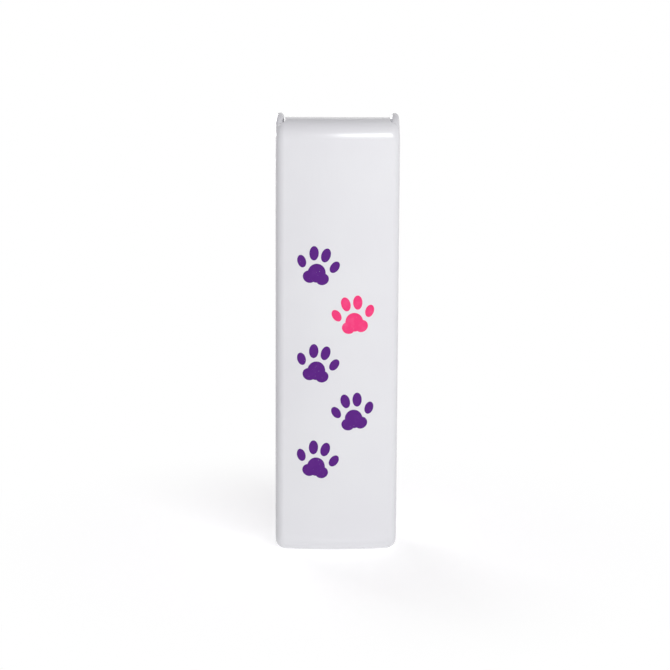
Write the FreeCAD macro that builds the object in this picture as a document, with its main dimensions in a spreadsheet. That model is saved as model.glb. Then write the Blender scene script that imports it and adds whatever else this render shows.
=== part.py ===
"""Folding pet hair roller: a slim case in two halves with a sticky roller inside.

The case stands closed on its free end, with the hinge at the top. X runs across the
width, Y from the printed front (-Y) to the back (+Y), and Z up. The origin is on the
standing face, under the middle of the case.
"""
import FreeCAD, Part
import math
import os
from types import SimpleNamespace

import Sketcher
from FreeCAD import Vector

os.makedirs("parts", exist_ok=True)
doc = FreeCAD.newDocument("folding_roller")
sheet = doc.addObject("Spreadsheet::Sheet", "Sizes")


class Size:
    """A length that carries both its number and its spreadsheet expression."""

    def __init__(self, value, text):
        self.value = value
        self.text = text

    @staticmethod
    def of(other):
        return other if isinstance(other, Size) else Size(other, repr(other))

    def joined(self, other, sign, value):
        return Size(value, f"({self.text} {sign} {other.text})")

    def __add__(self, other):
        other = Size.of(other)
        return self.joined(other, "+", self.value + other.value)

    def __sub__(self, other):
        other = Size.of(other)
        return self.joined(other, "-", self.value - other.value)

    def __mul__(self, other):
        other = Size.of(other)
        return self.joined(other, "*", self.value * other.value)

    def __truediv__(self, other):
        other = Size.of(other)
        return self.joined(other, "/", self.value / other.value)

    def __neg__(self):
        return Size(-self.value, f"(0 - {self.text})")

    def __radd__(self, other):
        return Size.of(other) + self

    def __rsub__(self, other):
        return Size.of(other) - self

    def __rmul__(self, other):
        return Size.of(other) * self


# Driving dimensions
DIMENSIONS = {
    # Case
    "case_width": 35,
    "face_length": 125,
    "case_depth": 30,
    "tray_depth": 11,
    "parting_gap": 0.25,
    "wall": 1.8,
    "front_crown": 2,
    "back_crown": 1.2,
    "side_rounding": 3,
    "end_rounding": 5.5,
    "heel_rounding": 3.4,
    # Hinge
    "hinge_from_end": 6.9,
    "hinge_setback": 1.5,
    "ear_radius": 8,
    "ear_thickness": 2.4,
    "ear_rounding": 1.1,
    "ear_clearance": 0.4,
    "ear_side_gap": 0.3,
    "shell_drop": 8.5,
    "neck_reach": 7,
    "heel_cover": 8,
    "pin_diameter": 3,
    "running_fit": 0.06,
    "pin_cap_diameter": 6,
    "pin_cap_thickness": 1,
    "knuckle_width": 10,
    "knuckle_radius": 5.6,
    "knuckle_relief": 0.3,
    "boss_diameter": 10,
    "boss_length": 12.6,
    "boss_tip_gap": 2.2,
    "foot_width": 23,
    "foot_height": 15,
    "foot_thickness": 2,
    "foot_tail": 11,
    "foot_rounding": 2,
    "web_relief": 0.8,
    "boss_taper": 1.2,
    "spacer_diameter": 6,
    # Screws and the posts that they bite in
    "post_height": 2.7,
    "post_diameter": 5.6,
    "post_spacing": 17,
    "post_from_hinge": 7.6,
    "rib_from_hinge": 1.8,
    "rib_thickness": 1.4,
    "screw_diameter": 2,
    "screw_length": 4.6,
    "screw_head_diameter": 4,
    "screw_head_height": 1.3,
    "recess_width": 0.6,
    "recess_depth": 0.7,
    "recess_reach": 1.4,
    # Roller
    "roller_clearance": 0.95,
    "gel_thickness": 2,
    "gel_rounding": 0.3,
    "core_wall": 1.5,
    "end_cap_thickness": 3,
    "end_cap_inset": 0.25,
    "end_cap_rounding": 0.8,
    "hub_diameter": 8,
    "hub_length": 2,
    "spigot_length": 6,
    "spigot_wall": 1.4,
    "axle_diameter": 3,
    "rod_rounding": 0.3,
    "washer_diameter": 7,
    "washer_thickness": 0.5,
    "washer_gap": 0.1,
    "axle_grip": 8.5,
    # Free end
    "tongue_width": 17,
    "tongue_thickness": 1.8,
    "tongue_rise": 4,
    "tongue_rounding": 3.5,
    "swing_gap": 0.5,
    "bead_length": 3,
    "bead_width": 1.2,
    "bead_height": 0.3,
    "bead_centre": 5,
    "scoop_start": 10,
    "scoop_length": 28,
    "scoop_depth": 4.3,
    "groove_offset": 3.5,
    "groove_pitch": 3.4,
    "groove_width": 0.8,
    "groove_depth": 0.3,
    "groove_length": 12,
    "groove_inset": 1,
}
size = SimpleNamespace()
for row, (name, value) in enumerate(DIMENSIONS.items(), 1):
    sheet.set(f"A{row}", name)
    sheet.set(f"B{row}", str(value))
    sheet.setAlias(f"B{row}", name)
    setattr(size, name, Size(float(value), f"Sizes.{name}"))

# Places worked out from the driving dimensions
half_width = size.case_width / 2
front = -(size.case_depth / 2)
back = size.case_depth / 2
tray_rim = front + size.tray_depth
shell_rim = tray_rim + size.parting_gap
hinge_y = tray_rim + size.hinge_setback
hinge_z = size.face_length - size.hinge_from_end
shell_top = hinge_z - size.shell_drop
front_edge = front + size.front_crown
back_edge = back - size.back_crown
ear_inner = half_width - size.ear_thickness
notch_inner = ear_inner - size.ear_side_gap
cap_seat = half_width - size.pin_cap_thickness - size.running_fit
inner_front = front + size.wall
post_top = inner_front + size.post_height
foot_top = post_top + size.foot_thickness
screw_z = hinge_z - size.post_from_hinge
tongue_outer = size.wall + size.swing_gap
tongue_inner = tongue_outer + size.tongue_thickness
washer_step = size.washer_gap + size.washer_thickness + size.washer_gap
cap_outer_start = tongue_inner + washer_step
gel_start = cap_outer_start + size.hub_length + size.end_cap_thickness
boss_start = hinge_z - size.boss_length
cap_inner_end = boss_start - washer_step
gel_end = cap_inner_end - size.hub_length - size.end_cap_thickness
gel_length = gel_end - gel_start
axle_end = boss_start + size.axle_grip
gel_radius = back - size.wall - size.roller_clearance
core_radius = gel_radius - size.gel_thickness - size.running_fit
core_bore = core_radius - size.core_wall
groove_start = size.scoop_start + size.scoop_length + size.groove_offset
FAR = 20
GROOVES = 3


def circle_radius(half_chord, rise):
    """Return the radius of the arc that rises by rise over half_chord."""
    return (half_chord * half_chord + rise * rise) / (2 * rise)


def bind(item, prop, amount):
    """Tie a property to the sheet, or set it where it is a plain number."""
    if isinstance(amount, Size):
        item.setExpression(prop, amount.text)
    else:
        setattr(item, prop, amount)


def new_body(label):
    """Start a sub-part of its own."""
    body = doc.addObject("PartDesign::Body", label)
    body.Label = label
    return body


def sketch_on(body, name, plane, offset=(0, 0, 0)):
    """Attach a sketch to one of the body's origin planes, moved by offset in the sketch's axes."""
    sketch = body.newObject("Sketcher::SketchObject", name)
    support = [item for item in body.Origin.OriginFeatures if item.Role == plane][0]
    sketch.AttachmentSupport = [(support, "")]
    sketch.MapMode = "FlatFace"
    for axis, shift in zip("xyz", offset):
        if isinstance(shift, Size):
            sketch.setExpression(f"AttachmentOffset.Base.{axis}", shift.text)
    return sketch


def pin_point(sketch, curve, end, x, y):
    """Hold one end of a curve at the coordinates (x, y) of its sketch."""
    for kind, axis, place in (("DistanceX", -2, Size.of(x)), ("DistanceY", -1, Size.of(y))):
        if place.value == 0 and place.text == "0":
            sketch.addConstraint(Sketcher.Constraint("PointOnObject", curve, end, axis))
            continue
        index = sketch.addConstraint(Sketcher.Constraint(kind, -1, 1, curve, end, place.value))
        sketch.setExpression(f"Constraints[{index}]", place.text)


def arc_through(start, end, radius):
    """Return the arc from start to end that bulges to the left for a positive radius."""
    chord = end - start
    half = chord.Length / 2
    sagitta = abs(radius) - math.sqrt(max(radius * radius - half * half, 0))
    side = Vector(-chord.y, chord.x, 0).normalize() * math.copysign(sagitta, radius)
    return Part.Arc(start, (start + end) / 2 + side, end)


def outline(sketch, points):
    """Draw a closed outline; a point's third value makes the edge towards it an arc."""
    places = [Vector(Size.of(x).value, Size.of(y).value, 0) for x, y, *_ in points]
    for index, point in enumerate(points):
        start = places[index - 1]
        end = places[index]
        if len(point) == 3:
            curve = arc_through(start, end, point[2].value)
        else:
            curve = Part.LineSegment(start, end)
        sketch.addGeometry(curve)
    for index, point in enumerate(points):
        before = len(points) - 1 if index == 0 else index - 1
        bends_here = len(point) == 3 and point[2].value > 0
        bends_before = len(points[before]) == 3 and points[before][2].value > 0
        end_here = 1 if bends_here else 2
        start_here = 2 if bends_here else 1
        end_before = 1 if bends_before else 2
        pin_point(sketch, index, end_here, point[0], point[1])
        sketch.addConstraint(
            Sketcher.Constraint("Coincident", before, end_before, index, start_here))
        if len(point) == 3:
            radius = Size.of(point[2])
            positive = radius if radius.value > 0 else -radius
            number = sketch.addConstraint(Sketcher.Constraint("Radius", index, positive.value))
            sketch.setExpression(f"Constraints[{number}]", positive.text)
    return sketch


def rectangle(sketch, left, low, right, high):
    """Draw a rectangle between two corners."""
    return outline(sketch, [(left, low), (right, low), (right, high), (left, high)])


def circles(sketch, *discs):
    """Draw circles given as (x, y, radius)."""
    for index, (x, y, radius) in enumerate(discs):
        radius = Size.of(radius)
        centre = Vector(Size.of(x).value, Size.of(y).value, 0)
        sketch.addGeometry(Part.Circle(centre, Vector(0, 0, 1), radius.value))
        pin_point(sketch, index, 3, x, y)
        number = sketch.addConstraint(Sketcher.Constraint("Radius", index, radius.value))
        sketch.setExpression(f"Constraints[{number}]", radius.text)
    return sketch


def pad(body, name, sketch, length, symmetric=False, back=False):
    """Raise a sketch by length, both ways from its plane or against its normal if asked."""
    feature = body.newObject("PartDesign::Pad", name)
    feature.Profile = sketch
    bind(feature, "Length", length)
    feature.SideType = "Symmetric" if symmetric else "One side"
    feature.Reversed = back
    doc.recompute()
    return feature


def pocket(body, name, sketch, length, symmetric=False, back=False):
    """Cut a sketch into the body, against its normal unless back is set."""
    volume = body.Shape.Volume
    feature = body.newObject("PartDesign::Pocket", name)
    feature.Profile = sketch
    bind(feature, "Length", length)
    feature.SideType = "Symmetric" if symmetric else "One side"
    feature.Reversed = back
    doc.recompute()
    if feature.Shape.Volume >= volume:
        raise RuntimeError(f"{name} cuts nothing")
    return feature


def revolve(body, name, sketch, axis):
    """Turn a sketch all the way round one of its own axes."""
    feature = body.newObject("PartDesign::Revolution", name)
    feature.Profile = sketch
    feature.ReferenceAxis = (sketch, [axis])
    feature.Angle = 360
    doc.recompute()
    return feature


def mirror(body, name, originals):
    """Repeat features on the other side of the middle plane."""
    feature = body.newObject("PartDesign::Mirrored", name)
    feature.Originals = originals
    plane = [item for item in body.Origin.OriginFeatures if item.Role == "YZ_Plane"][0]
    feature.MirrorPlane = (plane, [""])
    body.Tip = feature
    doc.recompute()
    return feature


def edge_names(shape, wanted):
    """Name the edges whose middle point and edge pass the test."""
    names = []
    for index, edge in enumerate(shape.Edges, 1):
        middle = edge.valueAt((edge.FirstParameter + edge.LastParameter) / 2)
        if wanted(middle, edge):
            names.append(f"Edge{index}")
    return names


def fillet(body, name, radius, wanted):
    """Round the edges of the body that pass the test."""
    base = body.Tip
    feature = body.newObject("PartDesign::Fillet", name)
    feature.Base = (base, edge_names(base.Shape, wanted))
    bind(feature, "Radius", radius)
    doc.recompute()
    return feature


def hollow(body, name, thickness, open_y):
    """Hollow the body to a wall of even thickness, open at the face that lies at open_y."""
    base = body.Tip
    faces = [
        f"Face{index}" for index, face in enumerate(base.Shape.Faces, 1)
        if face.BoundBox.YLength < 0.001 and near(face.BoundBox.YMin, open_y.value)]
    feature = body.newObject("PartDesign::Thickness", name)
    feature.Base = (base, faces)
    bind(feature, "Value", thickness)
    feature.Join = "Intersection"
    feature.Reversed = True
    doc.recompute()
    return feature


def near(number, target):
    """Say whether two lengths are the same to a hundredth."""
    return abs(number - target) < 0.01


def crowned_block(body, rim, edge, crown, sign, length, low_round, high_round):
    """Make one half of the case as a solid block with a crowned face and rounded edges."""
    radius = circle_radius(half_width, crown)
    face = outline(
        sketch_on(body, "section", "XY_Plane"),
        [(-half_width, rim), (-half_width, edge), (half_width, edge, radius * sign),
         (half_width, rim)])
    pad(body, "block", face, length)

    def on_face(middle, edge_curve):
        return abs(edge_curve.BoundBox.XLength - size.case_width.value) < 0.01 and abs(
            middle.y - (edge.value + sign * crown.value)) < 0.01

    fillet(body, "low_end", low_round,
           lambda middle, curve: on_face(middle, curve) and near(middle.z, 0))
    fillet(body, "high_end", high_round,
           lambda middle, curve: on_face(middle, curve) and near(middle.z, length.value))

    def on_side(middle, curve):
        flat = curve.BoundBox.XLength < 0.01 and near(abs(middle.x), half_width.value)
        return flat and not near(middle.y, rim.value)

    fillet(body, "sides", size.side_rounding, on_side)


def roller_tray():
    """The shallow front half, with the tongue and posts that carry what is inside."""
    body = new_body("roller_tray")
    crowned_block(body, tray_rim, front_edge, size.front_crown, -1, size.face_length,
                  size.end_rounding, size.end_rounding)
    hollow(body, "cavity", size.wall, tray_rim)

    # The notches let the hinge ears turn beside the end wall.
    notch_radius = size.ear_radius + size.ear_clearance
    notch_back = (0, 0, notch_inner)
    arc = circles(sketch_on(body, "notch_arc", "YZ_Plane", notch_back),
                  (hinge_y, hinge_z, notch_radius))
    round_notch = pocket(body, "notch_round", arc, size.ear_thickness + FAR, back=True)
    above = rectangle(sketch_on(body, "notch_top", "YZ_Plane", notch_back),
                      hinge_y - notch_radius, hinge_z, tray_rim + FAR, size.face_length + FAR)
    square_notch = pocket(body, "notch_square", above, size.ear_thickness + FAR, back=True)
    mirror(body, "notches", [round_notch, square_notch])

    # A shallow relief in the end wall clears the knuckle's barrel.
    relief = circles(sketch_on(body, "relief_plan", "YZ_Plane"),
                     (hinge_y, hinge_z, size.knuckle_radius + size.knuckle_relief))
    pocket(body, "relief", relief, size.knuckle_width + size.knuckle_relief * 2, symmetric=True)

    # The tongue stands on the floor, just inside the free end.
    root = rectangle(sketch_on(body, "root_plan", "XY_Plane", (0, 0, size.wall / 2)),
                     -size.tongue_width / 2, front + size.end_rounding,
                     size.tongue_width / 2, tray_rim - size.swing_gap)
    pad(body, "tongue_root", root, tongue_outer - size.wall / 2)
    shoulder = size.tongue_width / 2 - size.tongue_rounding
    blade = outline(
        sketch_on(body, "blade_plan", "XY_Plane", (0, 0, tongue_outer)),
        [(-size.tongue_width / 2, inner_front),
         (size.tongue_width / 2, inner_front),
         (size.tongue_width / 2, size.tongue_rise - size.tongue_rounding),
         (shoulder, size.tongue_rise, -size.tongue_rounding),
         (-shoulder, size.tongue_rise),
         (-size.tongue_width / 2, size.tongue_rise - size.tongue_rounding, -size.tongue_rounding)])
    pad(body, "tongue", blade, size.tongue_thickness)
    axle_hole = circles(sketch_on(body, "axle_hole_plan", "XY_Plane", (0, 0, tongue_inner)),
                        (0, 0, size.axle_diameter / 2 + size.running_fit))
    pocket(body, "axle_hole", axle_hole, size.tongue_thickness + size.swing_gap / 2)

    # Two posts and a rib hold the knuckle's foot off the crowned floor.
    post_depth = size.post_height + size.wall / 4
    posts = circles(
        sketch_on(body, "posts_plan", "XZ_Plane", (0, 0, -post_top)),
        (-size.post_spacing / 2, screw_z, size.post_diameter / 2),
        (size.post_spacing / 2, screw_z, size.post_diameter / 2))
    pad(body, "posts", posts, post_depth)
    rib = rectangle(
        sketch_on(body, "rib_plan", "XZ_Plane", (0, 0, -post_top)),
        -size.foot_width / 2, hinge_z + size.rib_from_hinge,
        size.foot_width / 2, hinge_z + size.rib_from_hinge + size.rib_thickness)
    pad(body, "rib", rib, post_depth)
    pilots = circles(
        sketch_on(body, "pilots_plan", "XZ_Plane", (0, 0, -post_top)),
        (-size.post_spacing / 2, screw_z, size.screw_diameter / 2 + size.running_fit),
        (size.post_spacing / 2, screw_z, size.screw_diameter / 2 + size.running_fit))
    pilot_depth = size.screw_length - size.foot_thickness + size.swing_gap / 2
    pocket(body, "pilots", pilots, pilot_depth, back=True)
    return body


def handle_shell():
    """The deep back half, with its hinge ears, finger scoops and grip grooves."""
    body = new_body("handle_shell")
    crowned_block(body, shell_rim, back_edge, size.back_crown, 1, shell_top,
                  size.end_rounding, size.heel_rounding)
    hollow(body, "cavity", size.wall, shell_rim)

    # The end wall at the hinge stops short, and leaves room for the knuckle and its boss.
    inner_half = half_width - size.wall
    mouth = rectangle(sketch_on(body, "mouth_plan", "XY_Plane", (0, 0, shell_top - size.wall * 2)),
                      -inner_half, shell_rim - FAR, inner_half, back - size.heel_cover)
    pocket(body, "mouth", mouth, size.wall * 2 + FAR, back=True)

    # Each ear is a round-edged disc about the hinge axis, on a neck from the side wall.
    corner = size.ear_radius - size.ear_rounding
    ear = outline(
        sketch_on(body, "ear_profile", "XY_Plane", (0, hinge_y, hinge_z)),
        [(ear_inner, 0), (half_width, 0), (half_width, corner),
         (half_width - size.ear_rounding, size.ear_radius, -size.ear_rounding),
         (ear_inner + size.ear_rounding, size.ear_radius),
         (ear_inner, corner, -size.ear_rounding)])
    disc = revolve(body, "ear_disc", ear, "H_Axis")
    neck_plan = rectangle(
        sketch_on(body, "neck_plan", "YZ_Plane", (0, 0, ear_inner)),
        shell_rim, shell_top - size.side_rounding - size.wall, hinge_y + size.neck_reach, hinge_z)
    neck = pad(body, "neck", neck_plan, size.ear_thickness)
    mirror(body, "ears", [disc, neck])
    pin_hole = circles(sketch_on(body, "pin_hole_plan", "YZ_Plane"),
                       (hinge_y, hinge_z, size.pin_diameter / 2 + size.running_fit))
    pocket(body, "pin_hole", pin_hole, size.case_width + FAR, symmetric=True)
    cap_hole = circles(sketch_on(body, "cap_hole_plan", "YZ_Plane", (0, 0, cap_seat)),
                       (hinge_y, hinge_z, size.pin_cap_diameter / 2 + size.running_fit))
    cap_recess = pocket(body, "cap_recess", cap_hole, size.pin_cap_thickness + FAR, back=True)
    mirror(body, "cap_recesses", [cap_recess])

    # Finger scoops run through both side rims near the free end.
    low = shell_rim - size.scoop_depth
    high = shell_rim + size.scoop_depth
    run_in = size.scoop_length / 4
    bend = circle_radius(run_in / 2, size.scoop_depth / 2)
    first = size.scoop_start + run_in / 2
    last = size.scoop_start + size.scoop_length - run_in / 2
    middle_y = shell_rim + size.scoop_depth / 2
    scoop = outline(
        sketch_on(body, "scoop_profile", "YZ_Plane"),
        [(low, size.scoop_start), (shell_rim, size.scoop_start), (middle_y, first, bend),
         (high, size.scoop_start + run_in, -bend), (high, size.scoop_start + size.scoop_length - run_in),
         (middle_y, last, -bend), (shell_rim, size.scoop_start + size.scoop_length, bend),
         (low, size.scoop_start + size.scoop_length)])
    pocket(body, "scoops", scoop, size.case_width + FAR, symmetric=True)

    # Three fine grooves on each side give the thumb a grip.
    for number in range(GROOVES):
        middle_z = groove_start + size.groove_pitch * number
        groove = rectangle(
            sketch_on(body, f"groove_plan_{number}", "YZ_Plane", (0, 0, half_width - size.groove_depth)),
            shell_rim + size.groove_inset, middle_z - size.groove_width / 2,
            shell_rim + size.groove_inset + size.groove_length, middle_z + size.groove_width / 2)
        cut = pocket(body, f"groove_{number}", groove, FAR, back=True)
        mirror(body, f"groove_pair_{number}", [cut])

    # A low bead on the free end's inner face snaps past the tongue.
    bead = rectangle(
        sketch_on(body, "bead_plan", "XY_Plane", (0, 0, size.wall - size.wall / 4)),
        size.bead_centre - size.bead_length / 2, size.tongue_rise / 2 - size.bead_width / 2,
        size.bead_centre + size.bead_length / 2, size.tongue_rise / 2 + size.bead_width / 2)
    right_bead = pad(body, "bead", bead, size.wall / 4 + size.bead_height)
    mirror(body, "beads", [right_bead])
    return body


def turned(label, plane, offset, rings):
    """Make a turned piece from (outer radius, bore radius, length) rings laid end to end."""
    body = new_body(label)
    start = offset[2]
    for index, (outer, bore, length) in enumerate(rings):
        discs = [(offset[0], offset[1], outer)]
        if bore is not None:
            discs.append((offset[0], offset[1], bore))
        sketch = circles(
            sketch_on(body, f"ring_{index}", plane, (0, 0, start)), *discs)
        pad(body, f"length_{index}", sketch, length)
        start = start + length
    return body


def on_circle(radius, along, place):
    """Return a test for the round edges of one radius at one place along X or Z."""
    def wanted(middle, edge):
        if not hasattr(edge.Curve, "Radius"):
            return False
        return near(edge.Curve.Radius, radius.value) and near(getattr(middle, along), place.value)
    return wanted


def hinge_knuckle():
    """The centre block: a barrel for the pin, a foot on the tray and a boss for the axle."""
    body = new_body("hinge_knuckle")
    barrel = circles(sketch_on(body, "barrel_plan", "YZ_Plane"),
                     (hinge_y, hinge_z, size.knuckle_radius))
    pad(body, "barrel", barrel, size.knuckle_width, symmetric=True)
    web = rectangle(
        sketch_on(body, "web_plan", "YZ_Plane"),
        foot_top - size.foot_thickness / 2, hinge_z - size.knuckle_radius,
        hinge_y, hinge_z + size.knuckle_radius - size.web_relief)
    pad(body, "web", web, size.knuckle_width, symmetric=True)
    foot_low = hinge_z - size.foot_tail
    foot = rectangle(
        sketch_on(body, "foot_plan", "XZ_Plane", (0, 0, -foot_top)),
        -size.foot_width / 2, foot_low, size.foot_width / 2, foot_low + size.foot_height)
    pad(body, "foot", foot, size.foot_thickness)
    fillet(body, "foot_corners", size.foot_rounding,
           lambda middle, edge: near(abs(middle.x), size.foot_width.value / 2)
           and edge.BoundBox.YLength > size.foot_thickness.value - 0.01)
    boss_tip = hinge_z - size.boss_tip_gap
    boss = outline(
        sketch_on(body, "boss_profile", "XZ_Plane"),
        [(0, boss_start), (size.boss_diameter / 2, boss_start),
         (size.boss_diameter / 2 - size.boss_taper, boss_tip), (0, boss_tip)])
    revolve(body, "boss", boss, "V_Axis")
    pin_hole = circles(sketch_on(body, "pin_hole_plan", "YZ_Plane"),
                       (hinge_y, hinge_z, size.pin_diameter / 2 + size.running_fit))
    pocket(body, "pin_hole", pin_hole, size.knuckle_width * 2, symmetric=True)
    axle_hole = circles(sketch_on(body, "axle_hole_plan", "XY_Plane", (0, 0, boss_start)),
                        (0, 0, size.axle_diameter / 2 + size.running_fit))
    pocket(body, "axle_hole", axle_hole, size.axle_grip + size.washer_gap, back=True)
    screw_holes = circles(
        sketch_on(body, "screw_holes_plan", "XZ_Plane", (0, 0, -foot_top)),
        (-size.post_spacing / 2, screw_z, size.screw_diameter / 2 + size.running_fit),
        (size.post_spacing / 2, screw_z, size.screw_diameter / 2 + size.running_fit))
    pocket(body, "screw_holes", screw_holes, size.foot_thickness * 2, symmetric=True)
    return body


def knuckle_screw(label, side):
    """A cross-head screw through the knuckle's foot into one of the tray's posts."""
    body = new_body(label)
    centre_x = size.post_spacing / 2 * side
    shank = circles(
        sketch_on(body, "shank_plan", "XZ_Plane", (0, 0, -foot_top)),
        (centre_x, screw_z, size.screw_diameter / 2))
    pad(body, "shank", shank, size.screw_length)
    head = circles(
        sketch_on(body, "head_plan", "XZ_Plane", (0, 0, -foot_top)),
        (centre_x, screw_z, size.screw_head_diameter / 2))
    pad(body, "head", head, size.screw_head_height, back=True)
    top = foot_top + size.screw_head_height
    fillet(body, "head_edge", size.screw_head_height / 2,
           lambda middle, edge: near(middle.y, top.value))
    reach = size.recess_reach
    for name, half_x, half_z in (("across", reach, size.recess_width / 2),
                                 ("upright", size.recess_width / 2, reach)):
        slot = rectangle(
            sketch_on(body, f"recess_{name}", "XZ_Plane", (0, 0, -top)),
            centre_x - half_x, screw_z - half_z, centre_x + half_x, screw_z + half_z)
        pocket(body, f"recess_cut_{name}", slot, size.recess_depth, back=True)
    return body


def roller_end_cap(label, low, hub_first):
    """A round cap with a hub for the washer and a spigot inside the core."""
    disc_radius = gel_radius - size.end_cap_inset
    bore = size.axle_diameter / 2 + size.running_fit
    spigot = core_bore - size.running_fit
    rings = [(size.hub_diameter / 2, bore, size.hub_length), (disc_radius, bore, size.end_cap_thickness),
             (spigot, spigot - size.spigot_wall, size.spigot_length)]
    if not hub_first:
        rings.reverse()
    body = turned(label, "XY_Plane", (0, 0, low), rings)
    outer = low + size.hub_length if hub_first else low + size.spigot_length + size.end_cap_thickness
    fillet(body, "rim", size.end_cap_rounding, on_circle(disc_radius, "z", outer))
    return body


def roller():
    """The sticky sleeve on its core, with a cap at each end."""
    turned("roller_core", "XY_Plane", (0, 0, gel_start), [(core_radius, core_bore, gel_length)])
    gel_bore = gel_radius - size.gel_thickness
    sleeve = turned("gel_sleeve", "XY_Plane", (0, 0, gel_start),
                    [(gel_radius, gel_bore, gel_length)])
    fillet(sleeve, "ends", size.gel_rounding,
           lambda middle, edge: near(edge.Curve.Radius, gel_radius.value)
           if hasattr(edge.Curve, "Radius") else False)
    roller_end_cap("roller_end_cap_outer", cap_outer_start, True)
    roller_end_cap("roller_end_cap_inner", gel_end - size.spigot_length, False)


def axle_parts():
    """The rod that the roller turns on, and its two slip washers."""
    rod = turned("roller_axle", "XY_Plane", (0, 0, tongue_outer + size.washer_gap),
                 [(size.axle_diameter / 2, None, axle_end - tongue_outer - size.washer_gap)])
    fillet(rod, "ends", size.rod_rounding,
           lambda middle, edge: hasattr(edge.Curve, "Radius"))
    bore = size.axle_diameter / 2 + size.running_fit
    for label, low in (("axle_washer_outer", tongue_inner + size.washer_gap),
                       ("axle_washer_inner", cap_inner_end + size.washer_gap)):
        turned(label, "XY_Plane", (0, 0, low),
               [(size.washer_diameter / 2, bore, size.washer_thickness)])


def hinge_parts():
    """The pin through the ears, the covers over its ends and the spacers beside the knuckle."""
    pin_end = cap_seat - size.washer_gap
    pin = turned("hinge_pin", "YZ_Plane", (hinge_y, hinge_z, -pin_end),
                 [(size.pin_diameter / 2, None, pin_end * 2)])
    fillet(pin, "ends", size.rod_rounding, lambda middle, edge: hasattr(edge.Curve, "Radius"))
    spacer_start = size.knuckle_width / 2 + size.washer_gap
    spacer_length = notch_inner - spacer_start
    cap_start = cap_seat + size.running_fit
    cap_radius = size.pin_cap_diameter / 2
    for side in ("left", "right"):
        left = side == "left"
        turned(f"hinge_spacer_{side}", "YZ_Plane",
               (hinge_y, hinge_z, -notch_inner if left else spacer_start),
               [(size.spacer_diameter / 2, size.pin_diameter / 2 + size.running_fit, spacer_length)])
        cover = turned(f"hinge_cap_{side}", "YZ_Plane",
                       (hinge_y, hinge_z, -half_width if left else cap_start),
                       [(cap_radius, None, size.pin_cap_thickness)])
        rim_x = -half_width if left else half_width
        fillet(cover, "rim", size.rod_rounding, on_circle(cap_radius, "x", rim_x))


def check_document():
    """Stop if any feature failed, or if a sub-part's shape is null or not valid."""
    doc.recompute()
    for item in doc.Objects:
        if "Invalid" in item.State or "Error" in item.State:
            raise RuntimeError(f"{item.Label} failed: {item.State}")
    bodies = [item for item in doc.Objects if item.TypeId == "PartDesign::Body"]
    for body in bodies:
        if body.Shape.isNull() or not body.Shape.isValid() or len(body.Shape.Solids) != 1:
            raise RuntimeError(f"{body.Label} is not one valid solid")
    return bodies


roller_tray()
handle_shell()
hinge_knuckle()
knuckle_screw("knuckle_screw_left", -1)
knuckle_screw("knuckle_screw_right", 1)
hinge_parts()
roller()
axle_parts()
for sub_part in check_document():
    sub_part.Shape.exportStep(f"parts/{sub_part.Label}.step")
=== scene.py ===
"""Folding pet hair roller, closed and standing on its free end, dressed for the camera.

The two white shells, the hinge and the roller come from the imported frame. This script
gives each of them its finish, prints a paw trail on the front, adds what the moulds left
inside the shells and along the gel, and sets a plain pale studio round the case.
"""
import logging
import math
from collections.abc import Callable
from dataclasses import dataclass
from enum import Enum

import bpy
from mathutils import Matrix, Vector


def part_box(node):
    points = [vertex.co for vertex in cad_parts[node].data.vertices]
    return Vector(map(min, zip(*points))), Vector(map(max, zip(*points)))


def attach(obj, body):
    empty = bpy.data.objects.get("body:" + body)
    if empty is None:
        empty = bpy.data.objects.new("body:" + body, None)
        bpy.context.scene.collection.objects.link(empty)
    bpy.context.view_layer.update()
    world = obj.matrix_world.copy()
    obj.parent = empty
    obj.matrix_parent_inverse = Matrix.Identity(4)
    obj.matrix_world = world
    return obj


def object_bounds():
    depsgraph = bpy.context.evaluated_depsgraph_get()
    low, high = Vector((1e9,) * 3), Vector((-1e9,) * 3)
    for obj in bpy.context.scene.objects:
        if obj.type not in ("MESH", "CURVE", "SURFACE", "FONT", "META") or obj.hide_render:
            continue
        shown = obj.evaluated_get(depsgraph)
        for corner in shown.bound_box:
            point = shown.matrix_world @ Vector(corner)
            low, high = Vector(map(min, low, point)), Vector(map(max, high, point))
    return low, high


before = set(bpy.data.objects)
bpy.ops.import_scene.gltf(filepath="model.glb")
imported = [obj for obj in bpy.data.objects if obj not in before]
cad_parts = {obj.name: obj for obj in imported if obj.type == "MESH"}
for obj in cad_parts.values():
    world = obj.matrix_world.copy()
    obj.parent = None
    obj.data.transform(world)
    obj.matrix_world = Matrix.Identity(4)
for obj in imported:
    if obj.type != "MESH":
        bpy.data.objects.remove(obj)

CAD_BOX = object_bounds()
MM = 0.001
LOG = logging.getLogger("pet_hair_roller")
Colour = tuple[float, float, float]
Point = tuple[float, float, float]
Span = tuple[float, float]

# A face looks along an axis when this much of its normal lies along it.
FACING = 0.9


def linear(colour: Colour) -> tuple[float, float, float, float]:
    """Turn a screen colour into the linear colour that a shader takes.

    Args:
        colour: Red, green and blue as seen on a screen, from 0 to 1.

    Returns:
        The same colour, linear, with full alpha.
    """
    def channel(value: float) -> float:
        """Undo the screen curve for one channel."""
        return value / 12.92 if value <= 0.04045 else ((value + 0.055) / 1.055) ** 2.4

    return (channel(colour[0]), channel(colour[1]), channel(colour[2]), 1.0)


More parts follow.
